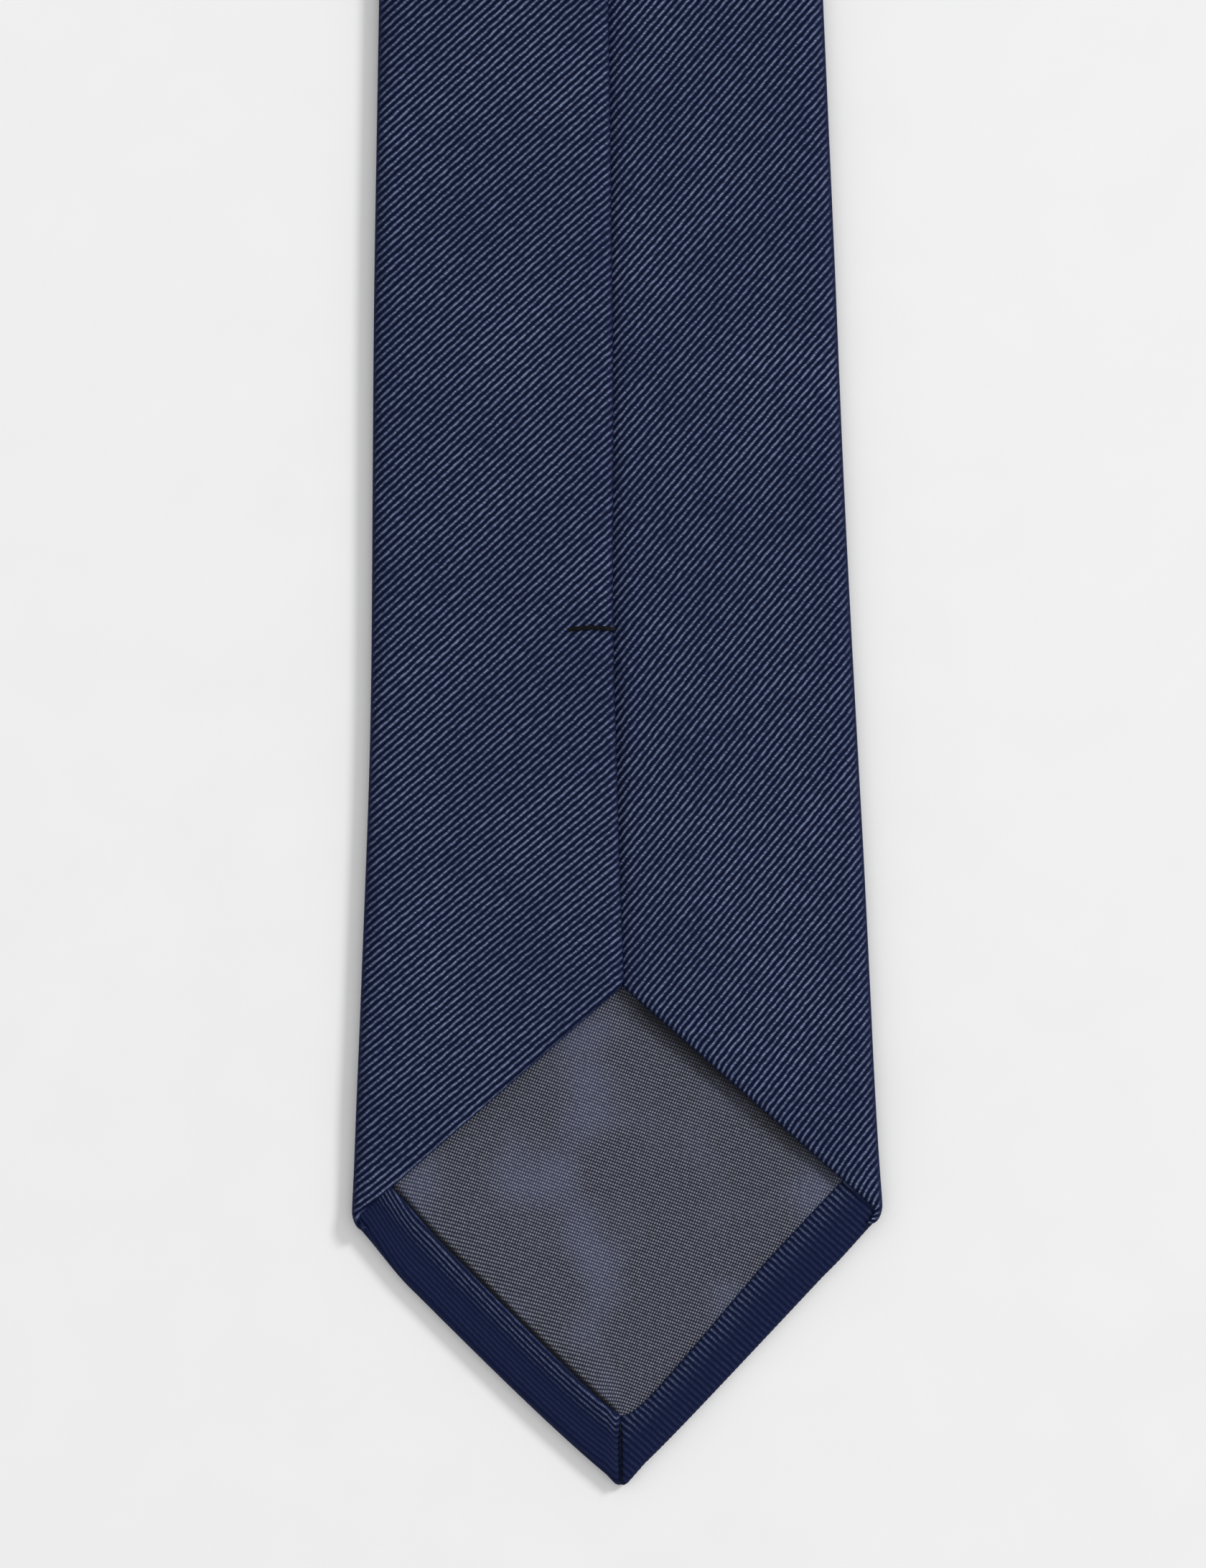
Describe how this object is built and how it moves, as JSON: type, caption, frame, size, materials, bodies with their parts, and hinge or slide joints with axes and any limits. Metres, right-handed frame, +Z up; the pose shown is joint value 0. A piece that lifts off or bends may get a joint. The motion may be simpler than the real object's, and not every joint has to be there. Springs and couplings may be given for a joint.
{
  "type": "necktie",
  "caption": "Woven silk necktie lying face down, folded in half at the neck, with a pointed front blade, tipping behind a mouth of two flaps, tacked centre seam and keeper loop.",
  "frame": {"origin": "on the surface the tie lies on, under the middle of the folded tie's bounding box", "axes": "+X to the right as the back of the front blade is looked at, +Y along the tie from the front tip to the fold at the neck, +Z up out of the back of the front blade"},
  "size_m": [0.08, 0.8748, 0.0091],
  "materials": {
    "shell_silk": "navy silk twill with raised diagonal ribs, slight sheen",
    "tipping": "charcoal grey satin lining with small lighter dots",
    "interlining_wool": "undyed napped wool interlining, matt",
    "tack_thread": "black twisted buttonhole thread",
    "sewing_thread": "dark navy twisted sewing thread",
    "label_satin": "plain off-white woven satin label"
  },
  "bodies": {
    "front": {"front_shell": "shell_silk", "neck_shell_front": "shell_silk", "front_interlining": "interlining_wool", "front_tipping": "tipping", "front_bar_tack": "tack_thread", "front_mitre_stitches": "sewing_thread", "front_tipping_stitches": "sewing_thread", "front_slip_stitch": "sewing_thread", "front_join_stitches": "sewing_thread", "keeper_loop": "shell_silk", "keeper_stitches": "tack_thread", "care_label": "label_satin", "label_stitches": "label_satin"},
    "tail": {"tail_shell": "shell_silk", "neck_shell_tail": "shell_silk", "tail_interlining": "interlining_wool", "tail_tipping": "tipping", "tail_bar_tack": "tack_thread", "tail_mitre_stitches": "sewing_thread", "tail_tipping_stitches": "sewing_thread", "tail_slip_stitch": "sewing_thread", "tail_join_stitches": "sewing_thread"},
    "left_flap": {"left_flap": "shell_silk"},
    "right_flap": {"right_flap": "shell_silk"}
  },
  "joints": [
    {"name": "neck_fold", "type": "hinge", "parent": "front", "child": "tail", "pos_m": [0, 0.4376, 0.0044], "axis": [-1, 0, 0], "range_deg": [0, 179.9]},
    {"name": "left_flap_open", "type": "hinge", "parent": "front", "child": "left_flap", "pos_m": [-0.0392, -0.3959, 0.0039], "axis": [-0.4088, -0.9126, 0], "range_deg": [0, 120]},
    {"name": "right_flap_open", "type": "hinge", "parent": "front", "child": "right_flap", "pos_m": [0.0392, -0.3959, 0.0031], "axis": [-0.4088, 0.9126, 0], "range_deg": [0, 120]}
  ]
}
